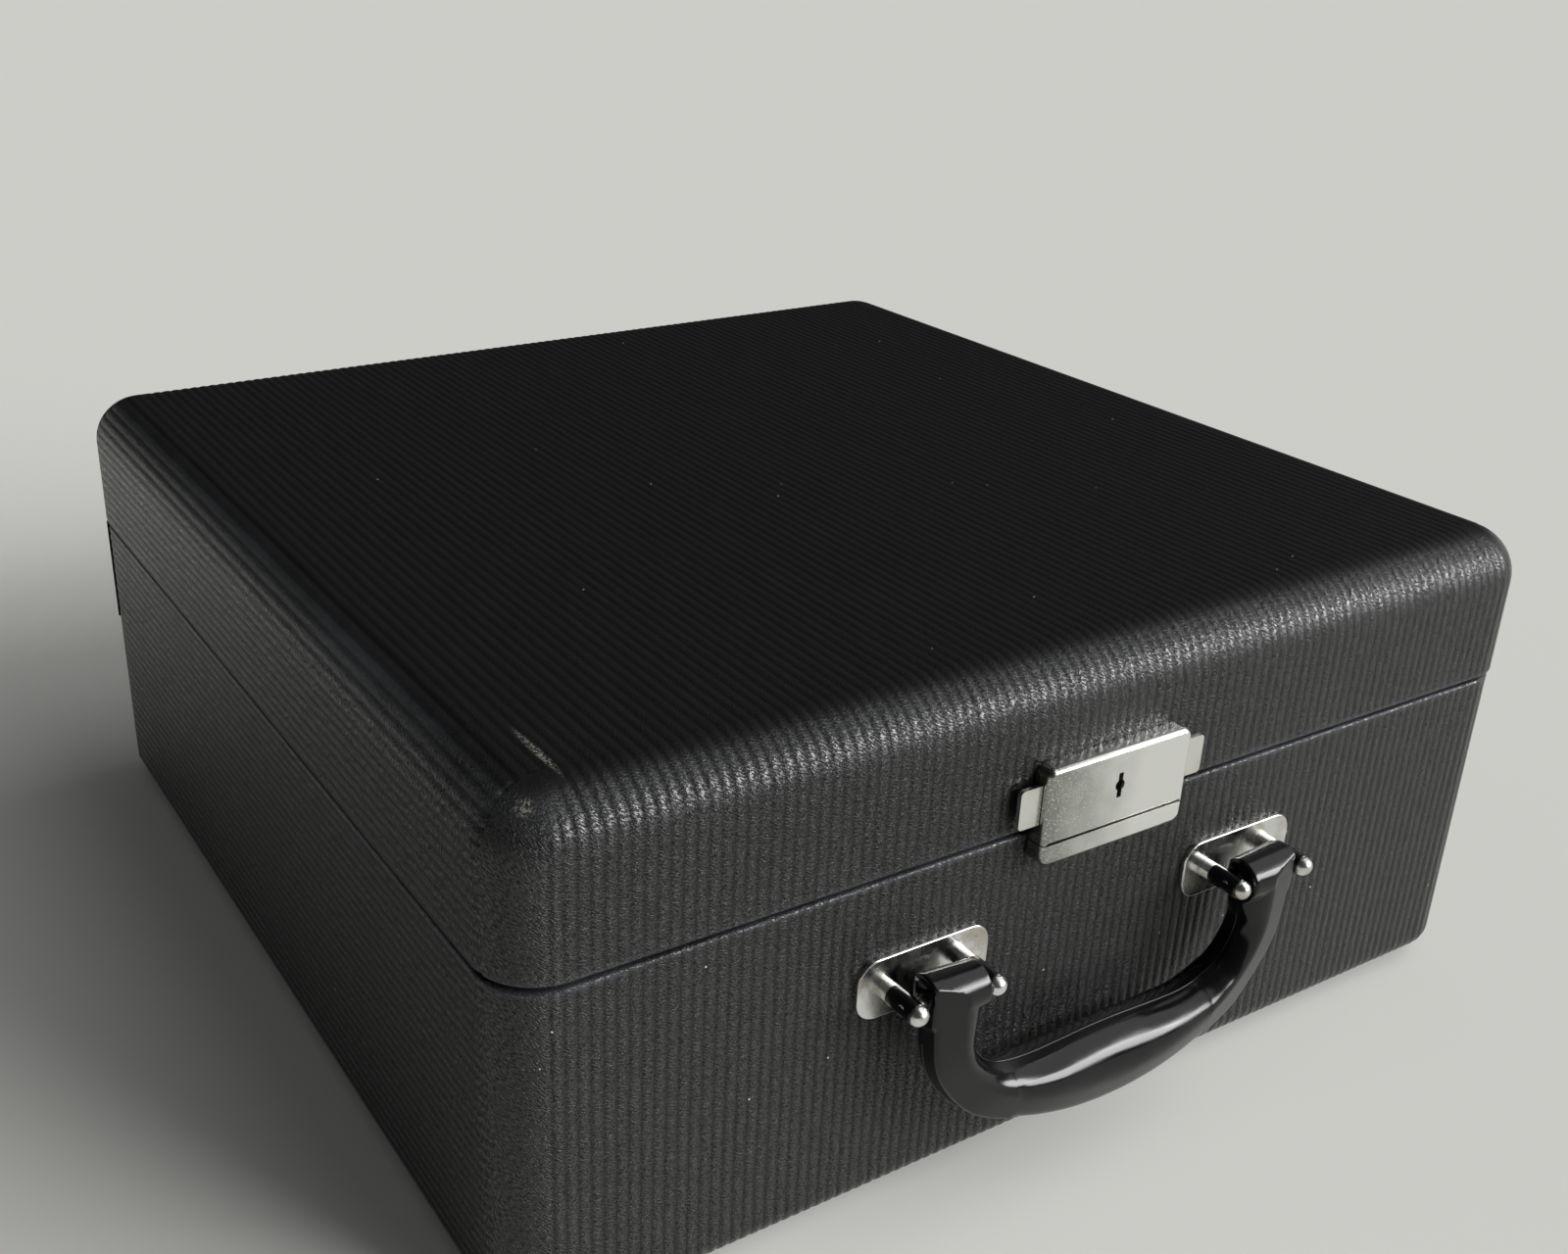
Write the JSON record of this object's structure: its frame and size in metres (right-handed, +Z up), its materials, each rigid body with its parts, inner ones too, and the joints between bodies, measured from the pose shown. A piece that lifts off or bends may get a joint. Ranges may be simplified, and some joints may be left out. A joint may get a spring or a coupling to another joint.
{
  "type": "typewriter case",
  "caption": "Square portable machine case in ribbed black leatherette, with a hinged lid, a lock with two side tabs and a carrying handle on the front.",
  "frame": {"origin": "on the ground under the centre of the closed case's bounding box, handle and back glides included", "axes": "+Z up, +X to the right seen from the front, front with lock and handle towards -Y"},
  "size_m": [0.3308, 0.3528, 0.143],
  "materials": {
    "plywood": "bare plywood",
    "leatherette": "ribbed coated cloth, semi-gloss, worn at the edges",
    "lining_cloth": "short flock",
    "stained_wood": "dark stained",
    "nickel": "nickel plated, pitted and tarnished",
    "chrome": "polished plating",
    "bright_steel": "zinc plated",
    "dark_glide": "blackened steel",
    "spring_steel": "bare",
    "moulded_black": "moulded, glossy with fine scratches",
    "pad_rubber": "matt"
  },
  "bodies": {
    "base": {"base_front_board": "plywood", "base_back_board": "plywood", "base_left_board": "plywood", "base_right_board": "plywood", "base_bottom_board": "plywood", "base_covering": "leatherette", "base_back_band": "leatherette", "base_lining": "lining_cloth", "rim_lips_long": "stained_wood", "rim_lips_short": "stained_wood", "bottom_glides": "dark_glide", "base_back_glides": "dark_glide", "hinge_leaf_base_left": "nickel", "hinge_leaf_base_right": "nickel", "hinge_pin_left": "nickel", "hinge_pin_right": "nickel", "base_hinge_rivets": "bright_steel", "handle_plates": "chrome", "handle_backing_plates": "bright_steel", "handle_posts": "chrome", "handle_pivot_pins": "bright_steel", "lock_keeper": "nickel", "keeper_hook": "bright_steel", "keeper_rivets": "bright_steel", "front_hold_hooks": "bright_steel", "machine_pads": "pad_rubber", "hold_down_screws": "bright_steel", "rear_catch_bracket": "bright_steel", "rear_catch_pivot": "bright_steel"},
    "lid": {"lid_front_board": "plywood", "lid_back_board": "plywood", "lid_left_board": "plywood", "lid_right_board": "plywood", "lid_top_board": "plywood", "lid_covering": "leatherette", "lid_lining": "lining_cloth", "lid_back_glides": "dark_glide", "hinge_leaf_lid_left": "nickel", "hinge_leaf_lid_right": "nickel", "lid_hinge_rivets": "bright_steel", "lock_cover": "nickel", "lock_back_plate": "bright_steel", "lock_rivets": "bright_steel", "left_slide_spring": "spring_steel", "right_slide_spring": "spring_steel"},
    "handle": {"handle": "moulded_black"},
    "left_slide": {"left_slide": "nickel"},
    "right_slide": {"right_slide": "nickel"},
    "key_cam": {"key_cam": "nickel"},
    "rear_catch": {"rear_catch": "bright_steel"}
  },
  "joints": [
    {"name": "lid_hinge", "type": "hinge", "parent": "base", "child": "lid", "pos_m": [0, 0.1728, 0.0992], "axis": [-1, 0, 0], "range_deg": [0, 175]},
    {"name": "handle_swing", "type": "hinge", "parent": "base", "child": "handle", "pos_m": [0, -0.1671, 0.069], "axis": [-1, 0, 0], "range_deg": [0, 165]},
    {"name": "left_slide_press", "type": "slide", "parent": "lid", "child": "left_slide", "axis": [1, 0, 0], "range_m": [0, 0.0035], "stiffness_N_per_m": 600, "springref_m": -0.0015, "deforming": ["left_slide_spring"]},
    {"name": "right_slide_press", "type": "slide", "parent": "lid", "child": "right_slide", "axis": [-1, 0, 0], "range_m": [0, 0.0035], "stiffness_N_per_m": 600, "springref_m": -0.0015, "deforming": ["right_slide_spring"]},
    {"name": "key_turn", "type": "hinge", "parent": "lid", "child": "key_cam", "pos_m": [0, -0.157, 0.1082], "axis": [0, 1, 0], "range_deg": [0, 90]},
    {"name": "rear_catch_turn", "type": "hinge", "parent": "base", "child": "rear_catch", "pos_m": [0, 0.135, 0.0431], "axis": [0, 0, 1], "range_deg": [0, 90]}
  ]
}
